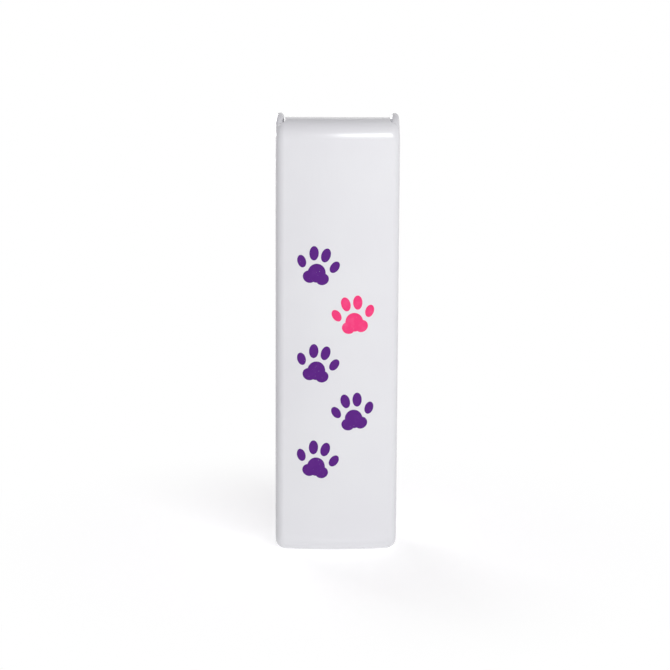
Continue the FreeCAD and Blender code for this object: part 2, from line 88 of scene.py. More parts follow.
class Socket:
    """A value in a shader, which Python's own operators work on."""

    def __init__(self, tree: bpy.types.NodeTree, link: bpy.types.NodeSocket) -> None:
        """Wrap one output socket of a node tree."""
        self.tree = tree
        self.link = link

    def maths(self, operation: str, *others: "Socket | float", clamp: bool = False) -> "Socket":
        """Add a Math node that starts from this value.

        Args:
            operation: The Math node's operation.
            others: The node's further inputs, in order.
            clamp: Whether the result is held between 0 and 1.

        Returns:
            The node's result.
        """
        node = self.tree.nodes.new("ShaderNodeMath")
        node.operation = operation
        node.use_clamp = clamp
        for place, value in zip(node.inputs, (self, *others)):
            if isinstance(value, Socket):
                self.tree.links.new(value.link, place)
            else:
                place.default_value = value
        return Socket(self.tree, node.outputs[0])

    def constant(self, number: float) -> "Socket":
        """Bring a fixed number into the same tree.

        Args:
            number: The number.

        Returns:
            The number as a socket.
        """
        node = self.tree.nodes.new("ShaderNodeValue")
        node.outputs[0].default_value = number
        return Socket(self.tree, node.outputs[0])

    def __add__(self, other: "Socket | float") -> "Socket":
        """Add."""
        return self.maths("ADD", other)

    def __radd__(self, other: float) -> "Socket":
        """Add, from the right."""
        return self.maths("ADD", other)

    def __sub__(self, other: "Socket | float") -> "Socket":
        """Take away."""
        return self.maths("SUBTRACT", other)

    def __rsub__(self, other: float) -> "Socket":
        """Take this value away from a number."""
        return self.constant(other).maths("SUBTRACT", self)

    def __mul__(self, other: "Socket | float") -> "Socket":
        """Multiply."""
        return self.maths("MULTIPLY", other)

    def __rmul__(self, other: float) -> "Socket":
        """Multiply, from the right."""
        return self.maths("MULTIPLY", other)

    def size(self) -> "Socket":
        """Return the value without its sign."""
        return self.maths("ABSOLUTE")

    def clamped(self) -> "Socket":
        """Hold the value between 0 and 1."""
        return self.maths("MULTIPLY", 1.0, clamp=True)

    def larger(self, other: "Socket | float") -> "Socket":
        """Return the larger of this value and another."""
        return self.maths("MAXIMUM", other)

    def rise(self, low: float, high: float) -> "Socket":
        """Turn the value into a smooth rise from 0 to 1.

        Args:
            low: The value up to which the result is 0.
            high: The value from which the result is 1.

        Returns:
            The rise.
        """
        node = self.tree.nodes.new("ShaderNodeMapRange")
        node.interpolation_type = "SMOOTHSTEP"
        node.inputs["From Min"].default_value = low
        node.inputs["From Max"].default_value = high
        self.tree.links.new(self.link, node.inputs["Value"])
        return Socket(self.tree, node.outputs["Result"])


@dataclass(frozen=True)
class Pattern:
    """A noise over a piece, as it is or turned into patches.

    The scale is in blobs a metre and the detail in octaves of finer noise. With a span, the
    noise gives 0 below it, 1 above it and a smooth rise between. A stretch below 1 draws the
    noise out along X, Y or Z, and the turn about these is in radians.
    """

    scale: float
    detail: float
    span: Span | None = None
    stretch: Point = (1.0, 1.0, 1.0)
    turn: Point = (0.0, 0.0, 0.0)


class Graph:
    """A node tree under construction."""

    def __init__(self, tree: bpy.types.NodeTree) -> None:
        """Work on one node tree."""
        self.tree = tree

    def add(self, kind: str, settings: dict | None = None, **inputs: object) -> bpy.types.Node:
        """Add a node.

        Args:
            kind: The node's type, without its ShaderNode prefix.
            settings: The node's own settings, which are set first.
            inputs: Values or sockets for its inputs, with _ in place of spaces.

        Returns:
            The new node.
        """
        node = self.tree.nodes.new("ShaderNode" + kind)
        for name, value in (settings or {}).items():
            setattr(node, name, value)
        for name, value in inputs.items():
            self.feed(node, name.replace("_", " "), value)
        return node

    def feed(self, node: bpy.types.Node, name: str | int, value: object) -> None:
        """Give one input of a node a value, or link a socket to it.

        Args:
            node: The node.
            name: The input's name, or its place in the list of inputs.
            value: The value or the socket.
        """
        place = node.inputs[name]
        if isinstance(value, Socket):
            self.tree.links.new(value.link, place)
        else:
            place.default_value = value

    def out(self, node: bpy.types.Node, name: str | int = 0) -> Socket:
        """Return an output of a node as a socket."""
        return Socket(self.tree, node.outputs[name])

    def choose(self, factor: Socket, first: bpy.types.Node,
               second: bpy.types.Node) -> bpy.types.Node:
        """Mix two shaders.

        Args:
            factor: How much of the second is shown, from 0 to 1.
            first: The shader that is shown where the factor is 0.
            second: The shader that is shown where the factor is 1.

        Returns:
            The node that mixes them.
        """
        mix = self.add("MixShader", Fac=factor)
        self.feed(mix, 1, self.out(first))
        self.feed(mix, 2, self.out(second))
        return mix


class Shader(Graph):
    """One material under construction, with its Principled shader."""

    BEVEL_SAMPLES = 6

    def __init__(self, name: str) -> None:
        """Start a material that holds only a Principled shader and its output.

        Args:
            name: The material's name.
        """
        self.material = bpy.data.materials.new(name)
        self.material.use_nodes = True
        super().__init__(self.material.node_tree)
        self.surface = self.tree.nodes["Principled BSDF"]

    def place(self) -> Socket:
        """Return the point on the object, in metres."""
        return self.out(self.add("TexCoord"), "Object")

    def axes(self) -> tuple[Socket, Socket, Socket]:
        """Return the point's X, Y and Z, in millimetres."""
        split = self.add("SeparateXYZ", Vector=self.place())
        return tuple(self.out(split, axis) * (1.0 / MM) for axis in "XYZ")

    def noise(self, pattern: Pattern) -> Socket:
        """Lay a pattern over the piece.

        Args:
            pattern: The pattern.

        Returns:
            Its value, about 0 to 1.
        """
        mapped = self.add("Mapping", Vector=self.place(), Scale=pattern.stretch,
                          Rotation=pattern.turn)
        node = self.add("TexNoise", Vector=self.out(mapped), Scale=pattern.scale,
                        Detail=pattern.detail)
        value = self.out(node)
        return value.rise(*pattern.span) if pattern.span else value

    def blend(self, factor: Socket | float, first: Colour | Socket,
              second: Colour | Socket) -> Socket:
        """Mix two colours.

        Args:
            factor: The share of the second colour, from 0 to 1.
            first: A screen colour, or a socket that gives a colour.
            second: Another.

        Returns:
            The mixed colour.
        """
        node = self.add("Mix", {"data_type": "RGBA"}, Factor=factor)
        # A Mix node has its two colours at inputs 6 and 7, and gives a colour at output 2.
        for index, colour in ((6, first), (7, second)):
            self.feed(node, index, colour if isinstance(colour, Socket) else linear(colour))
        return self.out(node, 2)

    def finish(self, colour: Socket, roughness: Socket, specular: float = 0.5) -> None:
        """Set how the surface looks.

        Args:
            colour: Its colour.
            roughness: Its roughness, from 0 to 1.
            specular: Its shine, where 0.5 is that of ordinary plastic.
        """
        self.feed(self.surface, "Base Color", colour)
        self.feed(self.surface, "Roughness", roughness)
        self.feed(self.surface, "Specular IOR Level", specular)

    def relief(self, height: Socket, edge: float = 0.0) -> None:
        """Raise the surface a little, and round its sharp edges to the eye.

        Args:
            height: How far it rises, in millimetres.
            edge: The radius that sharp edges seem to have, in millimetres.
        """
        node = self.add("Bump", Height=height, Distance=MM)
        if edge:
            rounded = self.add("Bevel", {"samples": self.BEVEL_SAMPLES}, Radius=edge * MM)
            self.feed(node, "Normal", self.out(rounded))
        self.feed(self.surface, "Normal", self.out(node))


@dataclass(frozen=True)
class Finish:
    """The finish of some pieces. Each kind of finish makes its own material."""

    name: str

    def make(self) -> bpy.types.Material:
        """Build the material, which each kind of finish does in its own way."""
        raise NotImplementedError


@dataclass(frozen=True)
class MouldedPlastic(Finish):
    """White moulded plastic: a faint orange peel, rubbed corners and a slight cloudiness.

    A reach is how far the wear comes in from the case's own edges, and lengths are in
    millimetres. The grain is in blobs a metre, and the broad peel is so many times as high
    and as large as the fine one. A tint is a share of another colour, and the values that
    end in rough are added to the roughness.
    """

    colour: Colour = (0.905, 0.908, 0.918)
    shade: Colour = (0.889, 0.888, 0.904)
    rubbed: Colour = (0.850, 0.845, 0.855)
    roughness: float = 0.20
    peel: float = 0.0022
    grain: float = 900.0
    edge: float = 0.16
    broad_height: float = 2.5
    broad_size: float = 7.0
    cloud: Pattern = Pattern(38.0, 2.0, (0.3, 0.7))
    rubbing: Pattern = Pattern(420.0, 4.0, (0.46, 0.66))
    handled: Pattern = Pattern(60.0, 2.0, (0.48, 0.62))
    hairline_left: Pattern = Pattern(1100.0, 1.0, (0.70, 0.74), (1.0, 1.0, 0.04), (0.0, 0.35, 0.0))
    hairline_right: Pattern = Pattern(900.0, 1.0, (0.71, 0.75), (1.0, 1.0, 0.05), (0.0, -0.6, 0.2))
    side_reach: float = 2.1
    face_reach: float = 2.4
    top_reach: Span = (7.1, 1.1)
    foot_reach: float = 5.0
    side_edge_wear: float = 0.45
    end_edge_wear: float = 0.35
    cloud_tint: float = 0.6
    wear_tint: float = 0.14
    hairline_tint: float = 0.08
    cloud_rough: float = 0.03
    wear_rough: float = 0.03
    hairline_rough: float = 0.01
    hairline_depth: float = 0.0008

    def wear(self, shader: Shader) -> Socket:
        """Work out where hands and pockets have rubbed the case: its corners and ends.

        Args:
            shader: The material that wears.

        Returns:
            The wear, from 0 to 1.
        """
        x, y, z = shader.axes()
        half_width, half_depth, top = (place / MM for place in CAD_BOX[1])
        sides = x.size().rise(half_width - self.side_reach, half_width)
        faces = y.size().rise(half_depth - self.face_reach, half_depth)
        start, full = self.top_reach
        ends = z.rise(top - start, top - full) + (1.0 - z.rise(0.0, self.foot_reach))
        corners = (sides * ends + sides * faces * self.side_edge_wear
                   + ends * faces * self.end_edge_wear)
        return corners.clamped() * shader.noise(self.rubbing)

    def scratches(self, shader: Shader) -> Socket:
        """Draw fine hairlines that cross the surface in two directions.

        Args:
            shader: The material that is scratched.

        Returns:
            The hairlines, from 0 to 1.
        """
        hairlines = shader.noise(self.hairline_left) + shader.noise(self.hairline_right)
        return hairlines.clamped() * shader.noise(self.handled)

    def make(self) -> bpy.types.Material:
        """Build the material.

        Returns:
            The finished material.
        """
        shader = Shader(self.name)
        cloud = shader.noise(self.cloud)
        wear = self.wear(shader)
        hairlines = self.scratches(shader)
        tint = shader.blend(cloud * self.cloud_tint, self.colour, self.shade)
        tint = shader.blend(wear * self.wear_tint, tint, self.rubbed)
        tint = shader.blend(hairlines * self.hairline_tint, tint, self.rubbed)
        rough = (cloud * self.cloud_rough + wear * self.wear_rough
                 + hairlines * self.hairline_rough + self.roughness)
        shader.finish(tint, rough)
        fine = shader.noise(Pattern(self.grain, 2.0)) * self.peel
        broad = shader.noise(Pattern(self.grain / self.broad_size, 1.0))
        height = fine + broad * (self.peel * self.broad_height) - hairlines * self.hairline_depth
        shader.relief(height, self.edge)
        return shader.material


@dataclass(frozen=True)
class StickyGel(Finish):
    """Blue washable gel: soft and glossy, cloudy inside, with a little lint on it.

    The rim is the length at each end, in millimetres, that is a little deeper in colour.
    The light goes in by the depth, in metres, times the radius of each colour.
    """

    colour: Colour = (0.372, 0.800, 0.925)
    deep: Colour = (0.315, 0.750, 0.900)
    lint: Colour = (0.86, 0.93, 0.96)
    roughness: float = 0.285
    cloud: Pattern = Pattern(80.0, 3.0, (0.3, 0.7))
    dust: Pattern = Pattern(1700.0, 1.0, (0.71, 0.78))
    fibres: Pattern = Pattern(2200.0, 1.0, (0.73, 0.77), (1.0, 1.0, 0.07), (0.5, 0.2, 0.3))
    ripple: Pattern = Pattern(260.0, 2.0, None, (1.0, 1.0, 0.2))
    rim: float = 0.7
    rim_tint: float = 0.35
    dust_tint: float = 0.4
    fibre_tint: float = 0.25
    cloud_rough: float = 0.08
    dust_rough: float = 0.3
    fibre_rough: float = 0.15
    rim_rough: float = 0.1
    light_weight: float = 0.2
    light_radius: Point = (0.4, 0.9, 1.0)
    light_depth: float = 1.5 * MM
    ripple_height: float = 0.02
    dust_height: float = 0.015
    fibre_height: float = 0.012
    edge: float = 0.15

    def rims(self, shader: Shader) -> Socket:
        """Work out where the sleeve ends.

        Args:
            shader: The sleeve's material.

        Returns:
            The rims, from 0 to 1.
        """
        z = shader.axes()[2]
        low, high = (corner[2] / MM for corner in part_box("gel_sleeve"))
        return (1.0 - z.rise(low, low + self.rim)) + z.rise(high - self.rim, high)

    def make(self) -> bpy.types.Material:
        """Build the material.

        Returns:
            The finished material.
        """
        shader = Shader(self.name)
        cloud = shader.noise(self.cloud)
        dust = shader.noise(self.dust)
        fibres = shader.noise(self.fibres)
        rims = self.rims(shader)
        tint = shader.blend(cloud, self.colour, self.deep)
        tint = shader.blend(rims * self.rim_tint, tint, self.deep)
        tint = shader.blend(dust * self.dust_tint + fibres * self.fibre_tint, tint, self.lint)
        rough = (cloud * self.cloud_rough + dust * self.dust_rough
                 + fibres * self.fibre_rough + rims * self.rim_rough + self.roughness)
        shader.finish(tint, rough)
        shader.feed(shader.surface, "Subsurface Weight", self.light_weight)
        shader.feed(shader.surface, "Subsurface Radius", self.light_radius)
        shader.feed(shader.surface, "Subsurface Scale", self.light_depth)
        height = (shader.noise(self.ripple) * self.ripple_height + dust * self.dust_height
                  + fibres * self.fibre_height)
        shader.relief(height, self.edge)
        return shader.material


@dataclass(frozen=True)
class DrawnSteel(Finish):
    """Steel wire and screws, with fine lines along Z and a few dull stains."""

    colour: Colour = (0.76, 0.77, 0.79)
    dull: Colour = (0.64, 0.64, 0.66)
    roughness: float = 0.285
    lines: Pattern = Pattern(4000.0, 2.0, None, (1.0, 1.0, 0.05))
    stain: Pattern = Pattern(300.0, 3.0, (0.4, 0.7))
    line_rough: float = 0.14
    stain_rough: float = 0.08
    line_height: float = 0.006
    edge: float = 0.08

    def make(self) -> bpy.types.Material:
        """Build the material.

        Returns:
            The finished material.
        """
        shader = Shader(self.name)
        lines = shader.noise(self.lines)
        stain = shader.noise(self.stain)
        rough = lines * self.line_rough + stain * self.stain_rough + self.roughness
        shader.finish(shader.blend(stain, self.colour, self.dull), rough)
        shader.feed(shader.surface, "Metallic", 1.0)
        shader.relief(lines * self.line_height, self.edge)
        return shader.material


@dataclass(frozen=True)
class PrintInk(Finish):
    """Pad-printed ink: a satin film, a little thinner in patches and at its pinholes."""

    colour: Colour
    thin: Colour
    bare: Colour = (0.80, 0.78, 0.84)
    roughness: float = 0.30
    specular: float = 0.3
    patch: Pattern = Pattern(500.0, 4.0, (0.45, 0.75))
    pinholes: Pattern = Pattern(3200.0, 1.0, (0.74, 0.80))
    film: Pattern = Pattern(2500.0, 2.0)
    patch_tint: float = 0.5
    pinhole_tint: float = 0.35
    patch_rough: float = 0.12
    pinhole_rough: float = 0.2
    film_height: float = 0.004
    pinhole_depth: float = 0.006

    def make(self) -> bpy.types.Material:
        """Build the material.

        Returns:
            The finished material.
        """
        shader = Shader(self.name)
        patch = shader.noise(self.patch)
        pinholes = shader.noise(self.pinholes)
        tint = shader.blend(patch * self.patch_tint, self.colour, self.thin)
        tint = shader.blend(pinholes * self.pinhole_tint, tint, self.bare)
        rough = patch * self.patch_rough + pinholes * self.pinhole_rough + self.roughness
        shader.finish(tint, rough, self.specular)
        film = shader.noise(self.film) * self.film_height
        shader.relief(film - pinholes * self.pinhole_depth)
        return shader.material


class Ink(Enum):
    """The two inks of the print, by the record's material slots."""

    PURPLE = "print_purple"
    PINK = "print_pink"


def alone(piece: bpy.types.Object) -> None:
    """Make a piece the only selected one, and the active one.

    Args:
        piece: The piece.
    """
    bpy.ops.object.select_all(action="DESELECT")
    piece.select_set(True)
    bpy.context.view_layer.objects.active = piece


def settle(piece: bpy.types.Object) -> None:
    """Move a piece's place, turn and scale into its mesh."""
    alone(piece)
    bpy.ops.object.transform_apply(location=True, rotation=True, scale=True)


def copy_of(piece: bpy.types.Object) -> bpy.types.Object:
    """Copy a piece.

    Args:
        piece: The piece.

    Returns:
        The copy, which has a mesh of its own.
    """
    alone(piece)
    bpy.ops.object.duplicate(linked=False)
    return bpy.context.object


def apply_modifiers(piece: bpy.types.Object) -> None:
    """Apply every modifier of a piece, in order.

    Args:
        piece: The piece.
    """
    alone(piece)
    for modifier in list(piece.modifiers):
        bpy.ops.object.modifier_apply(modifier=modifier.name)


def join(pieces: list[bpy.types.Object]) -> bpy.types.Object:
    """Join pieces into one.

    Args:
        pieces: The pieces.

    Returns:
        The first piece, which now holds them all.
    """
    bpy.ops.object.select_all(action="DESELECT")
    for piece in pieces:
        piece.select_set(True)
    bpy.context.view_layer.objects.active = pieces[0]
    bpy.ops.object.join()
    return pieces[0]


def select_faces(piece: bpy.types.Object,
                 wanted: Callable[[bpy.types.MeshPolygon], bool]) -> None:
    """Open a piece for editing with only the wanted faces selected.

    Args:
        piece: The piece, which is left in edit mode.
        wanted: Tells of a face whether it is selected.
    """
    alone(piece)
    bpy.ops.object.mode_set(mode="EDIT")
    bpy.ops.mesh.select_mode(type="FACE")
    bpy.ops.mesh.select_all(action="DESELECT")
    bpy.ops.object.mode_set(mode="OBJECT")
    for face in piece.data.polygons:
        face.select = wanted(face)
    bpy.ops.object.mode_set(mode="EDIT")


def lay_film(sheet: bpy.types.Object, node: str, backward: bool, sunk: float,
             film: float) -> None:
    """Lay a flat sheet on a node along Y, and thicken it into a film.

    Args:
        sheet: The sheet, whose faces look away from the surface that it will lie on.
        node: The node that it is laid on.
        backward: Whether it moves toward the back to get there.
        sunk: How deep its underside sinks in, in metres.
        film: The film's thickness, in metres.
    """
    wrap = sheet.modifiers.new("wrap", "SHRINKWRAP")
    wrap.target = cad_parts[node]
    wrap.wrap_method = "PROJECT"
    wrap.use_project_x = False
    wrap.use_project_y = True
    wrap.use_project_z = False
    wrap.use_positive_direction = backward
    wrap.use_negative_direction = not backward
    wrap.offset = -sunk
    thicken = sheet.modifiers.new("film", "SOLIDIFY")
    thicken.thickness = film
    thicken.offset = 1.0
    apply_modifiers(sheet)


def dress(piece: bpy.types.Object, material: bpy.types.Material) -> None:
    """Give a piece one material all over."""
    piece.data.materials.clear()
    piece.data.materials.append(material)


def dress_nodes(finish: Finish, names: tuple[str, ...]) -> bpy.types.Material:
    """Dress nodes of the frame in one finish.

    Args:
        finish: The finish.
        names: The nodes.

    Returns:
        The material that they now have.
    """
    material = finish.make()
    for name in names:
        dress(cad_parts[name], material)
        LOG.info("dressed %s", name)
    return material


@dataclass
class Shells:
    """The tray, the handle shell and the hinge caps that match them."""

    tray: MouldedPlastic = MouldedPlastic("gloss_white_tray")
    handle: MouldedPlastic = MouldedPlastic("gloss_white_handle")
    cap: MouldedPlastic = MouldedPlastic("gloss_white_cap", edge=0.1)

    def build(self) -> None:
        """Dress both shells and the caps, each moulding with its own clouds and wear."""
        dress_nodes(self.tray, ("roller_tray",))
        dress_nodes(self.handle, ("handle_shell",))
        dress_nodes(self.cap, ("hinge_cap_left", "hinge_cap_right"))


@dataclass(frozen=True)
class InnerFloor:
    """A shell's inner floor, and where its mould left marks on it, in millimetres."""

    shell: str
    body: str
    backward: bool
    pin_side: float
    pin_heights: tuple[float, ...]
    gate_height: float


@dataclass
class MouldMarks:
    """What the moulds left on both inner floors: ejector pin rings and a gate's stub."""

    facets: int = 48
    pin_radius: float = 1.95 * MM
    rim_width: float = 0.2 * MM
    rim_film: float = 0.07 * MM
    gate_radius: float = 0.75 * MM
    gate_film: float = 0.2 * MM
    sunk: float = 0.02 * MM
    start: float = 5.0 * MM
    floors: tuple[InnerFloor, ...] = (
        InnerFloor("roller_tray", "carrier", False, 11.5, (22.0, 62.0, 100.0), 55.0),
        InnerFloor("handle_shell", "handle", True, 9.0, (20.0, 50.0, 80.0), 62.0),
    )

    def disc(self, radius: float) -> bpy.types.Object:
        """Make a flat disc.

        Args:
            radius: Its radius, in metres.

        Returns:
            The disc, upright at the origin and facing the front.
        """
        bpy.ops.object.select_all(action="DESELECT")
        bpy.ops.mesh.primitive_circle_add(
            vertices=self.facets, radius=radius, fill_type="NGON", location=(0, 0, 0),
            rotation=(math.radians(90), 0, 0))
        disc = bpy.context.object
        settle(disc)
        return disc

    def ring(self) -> bpy.types.Object:
        """Make the ring round one ejector pin.

        Returns:
            The ring, flat, upright at the origin and facing the front.
        """
        ring = self.disc(self.pin_radius)
        select_faces(ring, lambda face: True)
        bpy.ops.mesh.inset(thickness=self.rim_width)
        bpy.ops.mesh.delete(type="FACE")
        bpy.ops.object.mode_set(mode="OBJECT")
        return ring

    def lay(self, sheet: bpy.types.Object, floor: InnerFloor, x: float, z: float,
            film: float) -> bpy.types.Object:
        """Lay a copy of a flat sheet on a floor.

        Args:
            sheet: The sheet, which faces the front.
            floor: The floor that it is laid on.
            x: Its middle across the floor, in millimetres.
            z: Its middle up the floor, in millimetres.
            film: The thickness that it gets, in metres.

        Returns:
            The copy.
        """
        copy = copy_of(sheet)
        copy.rotation_euler = (0, 0, 0 if floor.backward else math.pi)
        copy.location = (x * MM, self.start if floor.backward else -self.start, z * MM)
        settle(copy)
        lay_film(copy, floor.shell, floor.backward, self.sunk, film)
        return copy

    def mark(self, floor: InnerFloor, ring: bpy.types.Object, stub: bpy.types.Object) -> None:
        """Mark one shell's inner floor.

        Args:
            floor: The floor, with the places of its marks.
            ring: The ring of an ejector pin.
            stub: The stub of the gate.
        """
        gate = self.lay(stub, floor, 0.0, floor.gate_height, self.gate_film)
        rings = [self.lay(ring, floor, x, z, self.rim_film)
                 for x in (-floor.pin_side, floor.pin_side) for z in floor.pin_heights]
        joined = join([gate, *rings])
        joined.name = f"{floor.shell}_mould_marks"
        dress(joined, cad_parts[floor.shell].data.materials[0])
        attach(joined, floor.body)
        LOG.info("marked %s", floor.shell)

    def build(self) -> None:
        """Mark both shells, with copies of one ring and one stub."""
        ring, stub = self.ring(), self.disc(self.gate_radius)
        for floor in self.floors:
            self.mark(floor, ring, stub)
        for sheet in (ring, stub):
            bpy.data.objects.remove(sheet)


@dataclass
class HingeParts:
    """The knuckle, its spacers, screws and pin, and the roller's fittings and axle."""

    fitting: MouldedPlastic = MouldedPlastic(
        "satin_white_fitting", (0.89, 0.89, 0.91), (0.87, 0.87, 0.895), roughness=0.36,
        peel=0.004, grain=1400.0, edge=0.2)
    steel: DrawnSteel = DrawnSteel("drawn_steel")
    nylon: MouldedPlastic = MouldedPlastic(
        "natural_nylon", (0.88, 0.87, 0.82), (0.85, 0.84, 0.79), roughness=0.45,
        peel=0.003, grain=2000.0, edge=0.1)

    def build(self) -> None:
        """Dress the small parts, those of one stuff in one material."""
        dress_nodes(self.fitting, (
            "hinge_knuckle", "hinge_spacer_left", "hinge_spacer_right",
            "roller_end_cap_outer", "roller_end_cap_inner", "roller_core"))
        dress_nodes(self.steel, (
            "hinge_pin", "roller_axle", "knuckle_screw_left", "knuckle_screw_right"))
        dress_nodes(self.nylon, ("axle_washer_outer", "axle_washer_inner"))


@dataclass
class GelRoller:
    """The sticky sleeve, and the two fine seams where its mould closed.

    The bevel is a share of the seam's rise.
    """

    finish: StickyGel = StickyGel("blue_sticky_gel")
    seam_width: float = 0.12 * MM
    seam_rise: float = 0.03 * MM
    seam_depth: float = 0.12 * MM
    seam_inset: float = 0.6 * MM
    seam_bevel: float = 0.8
    seam_steps: int = 3

    def seam(self) -> bpy.types.Object:
        """Raise the seam along the back of the sleeve, with its edges broken.

        Returns:
            The seam.
        """
        low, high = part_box("gel_sleeve")
        bpy.ops.object.select_all(action="DESELECT")
        bpy.ops.mesh.primitive_cube_add(size=1.0, location=(0, 0, 0))
        seam = bpy.context.object
        seam.scale = (self.seam_width, self.seam_depth, high[2] - low[2] - 2 * self.seam_inset)
        seam.location = ((low[0] + high[0]) / 2, high[1] + self.seam_rise - self.seam_depth / 2,
                         (low[2] + high[2]) / 2)
        settle(seam)
        select_faces(seam, lambda face: face.normal.y > FACING)
        bpy.ops.mesh.bevel(offset=self.seam_rise * self.seam_bevel, segments=self.seam_steps,
                           affect="EDGES")
        bpy.ops.object.mode_set(mode="OBJECT")
        return seam

    def build(self) -> None:
        """Dress the sleeve and raise its seams, the front one a copy of the back one."""
        material = dress_nodes(self.finish, ("gel_sleeve",))
        low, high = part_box("gel_sleeve")
        back = self.seam()
        front = copy_of(back)
        front.rotation_euler = (0, 0, math.pi)
        front.location = (low[0] + high[0], low[1] + high[1], 0)
        settle(front)
        seams = join([back, front])
        seams.name = "gel_seams"
        dress(seams, material)
        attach(seams, "roller")
        LOG.info("raised gel_seams")


@dataclass(frozen=True)
class Oval:
    """One oval of a paw: its centre and half its size in pad widths, its lean in degrees."""

    x: float
    z: float
    half_x: float
    half_z: float
    lean: float = 0.0


@dataclass(frozen=True)
class Step:
    """One paw print: its middle on the face in millimetres, its lean in degrees, its ink."""

    x: float
    z: float
    lean: float
    ink: Ink


@dataclass
class PawTrail:
    """A trail of paw prints up the front, printed in purple with one in pink.

    A paw is cut from oval blocks, whose depth is in pad widths. Its flat sheet is divided
    into small squares, so that it can follow the crowned face, and starts in front of it.
    """

    pad_width: float = 11.0 * MM
    film: float = 0.05 * MM
    sunk: float = 0.015 * MM
    square: float = 0.6 * MM
    start: float = 5.0 * MM
    facets: int = 64
    block_depth: float = 0.2
    purple: PrintInk = PrintInk("purple_ink", (0.335, 0.03, 0.495), (0.37, 0.10, 0.52))
    pink: PrintInk = PrintInk("pink_ink", (0.96, 0.21, 0.48), (0.97, 0.34, 0.56))
    steps: tuple[Step, ...] = (
        Step(-5.6, 27.5, 10.0, Ink.PURPLE),
        Step(4.6, 41.5, -8.0, Ink.PURPLE),
        Step(-5.6, 55.5, 10.0, Ink.PURPLE),
        Step(4.6, 69.5, -8.0, Ink.PINK),
        Step(-5.6, 83.5, 10.0, Ink.PURPLE),
    )
    heel_pad: tuple[Oval, ...] = (
        Oval(0.0, -0.15, 0.23, 0.24),
        Oval(-0.17, -0.28, 0.17, 0.155, 24.0),
        Oval(0.17, -0.28, 0.17, 0.155, -24.0),
        Oval(0.0, -0.27, 0.15, 0.13),
    )
    toes: tuple[Oval, ...] = (
        Oval(-0.43, 0.08, 0.11, 0.165, -26.0),
        Oval(-0.155, 0.34, 0.12, 0.185, -8.0),
        Oval(0.155, 0.34, 0.12, 0.185, 8.0),
        Oval(0.43, 0.08, 0.11, 0.165, 26.0),
    )

    def block(self, shape: Oval) -> bpy.types.Object:
        """Cut one oval of the paw as an upright block.

        Args:
            shape: The oval.

        Returns:
            The oval block.
        """
        unit = self.pad_width
        bpy.ops.object.select_all(action="DESELECT")
        bpy.ops.mesh.primitive_cylinder_add(
            vertices=self.facets, radius=unit, depth=self.block_depth * unit,
            location=(0, 0, 0), rotation=(math.radians(90), 0, 0))
        oval = bpy.context.object
        settle(oval)
        oval.scale = (shape.half_x, 1.0, shape.half_z)
        settle(oval)
        oval.rotation_euler = (0, math.radians(shape.lean), 0)
        oval.location = (shape.x * unit, 0, shape.z * unit)
        settle(oval)
        return oval

    def unite(self, blocks: list[bpy.types.Object]) -> bpy.types.Object:
        """Unite the ovals of the heel pad into one outline.

        Args:
            blocks: The oval blocks, which overlap.

        Returns:
            The first block, which now is the whole pad.
        """
        pad, *others = blocks
        for other in others:
            unite = pad.modifiers.new("unite", "BOOLEAN")
            unite.operation = "UNION"
            unite.solver = "EXACT"
            unite.object = other
        apply_modifiers(pad)
        for other in others:
            bpy.data.objects.remove(other)
        return pad

    def divide(self, sheet: bpy.types.Object, axis: int) -> None:
        """Cut a sheet into strips no wider than the small squares.

        Args:
            sheet: The sheet.
            axis: The axis that the cuts are square to, 0 for X or 2 for Z.
        """
        places = [vertex.co[axis] for vertex in sheet.data.vertices]
        low, high = min(places), max(places)
        strips = math.ceil((high - low) / self.square)
        normal = [0.0, 0.0, 0.0]
        normal[axis] = 1.0
        bpy.ops.object.mode_set(mode="EDIT")
        for cut in range(1, strips):
            point = [0.0, 0.0, 0.0]
            point[axis] = low + (high - low) * cut / strips
            bpy.ops.mesh.select_all(action="SELECT")
            bpy.ops.mesh.bisect(plane_co=point, plane_no=normal)
        bpy.ops.object.mode_set(mode="OBJECT")

    def sheet(self) -> bpy.types.Object:
        """Shape one paw as a flat sheet: a broad heel pad under four toes.

        Returns:
            The sheet, upright at the origin and facing the front.
        """
        heel = self.unite([self.block(shape) for shape in self.heel_pad])
        paw = join([heel, *(self.block(shape) for shape in self.toes)])
        select_faces(paw, lambda face: face.normal.y > -FACING)
        bpy.ops.mesh.delete(type="FACE")
        bpy.ops.object.mode_set(mode="OBJECT")
        self.divide(paw, 0)
        self.divide(paw, 2)
        return paw

    def press(self, sheet: bpy.types.Object, name: str, step: Step,
              material: bpy.types.Material) -> None:
        """Press a copy of the sheet onto the crowned face as a film of ink.

        Args:
            sheet: The flat paw.
            name: The new piece's name.
            step: Where it is printed, and in which ink.
            material: That ink's material.
        """
        paw = copy_of(sheet)
        paw.name = name
        paw.rotation_euler = (0, math.radians(step.lean), 0)
        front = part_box("roller_tray")[0][1]
        paw.location = (step.x * MM, front - self.start, step.z * MM)
        settle(paw)
        lay_film(paw, "roller_tray", True, self.sunk, self.film)
        dress(paw, material)
        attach(paw, "carrier")
        LOG.info("printed %s", name)

    def build(self) -> None:
        """Print the whole trail, with copies of one paw."""
        materials = {Ink.PURPLE: self.purple.make(), Ink.PINK: self.pink.make()}
        sheet = self.sheet()
        for number, step in enumerate(self.steps, 1):
            self.press(sheet, f"paw_print_{number}", step, materials[step.ink])
        bpy.data.objects.remove(sheet)


@dataclass(frozen=True)
class Lamp:
    """A soft oblong lamp that faces the case.

    The azimuth is how far right of the front it hangs and the height how far up, both in
    degrees. The distance, and the size as width and height, are in metres. The power is in
    watts.
    """

    name: str
    azimuth: float
    height: float
    distance: float
    size: Span
    power: float


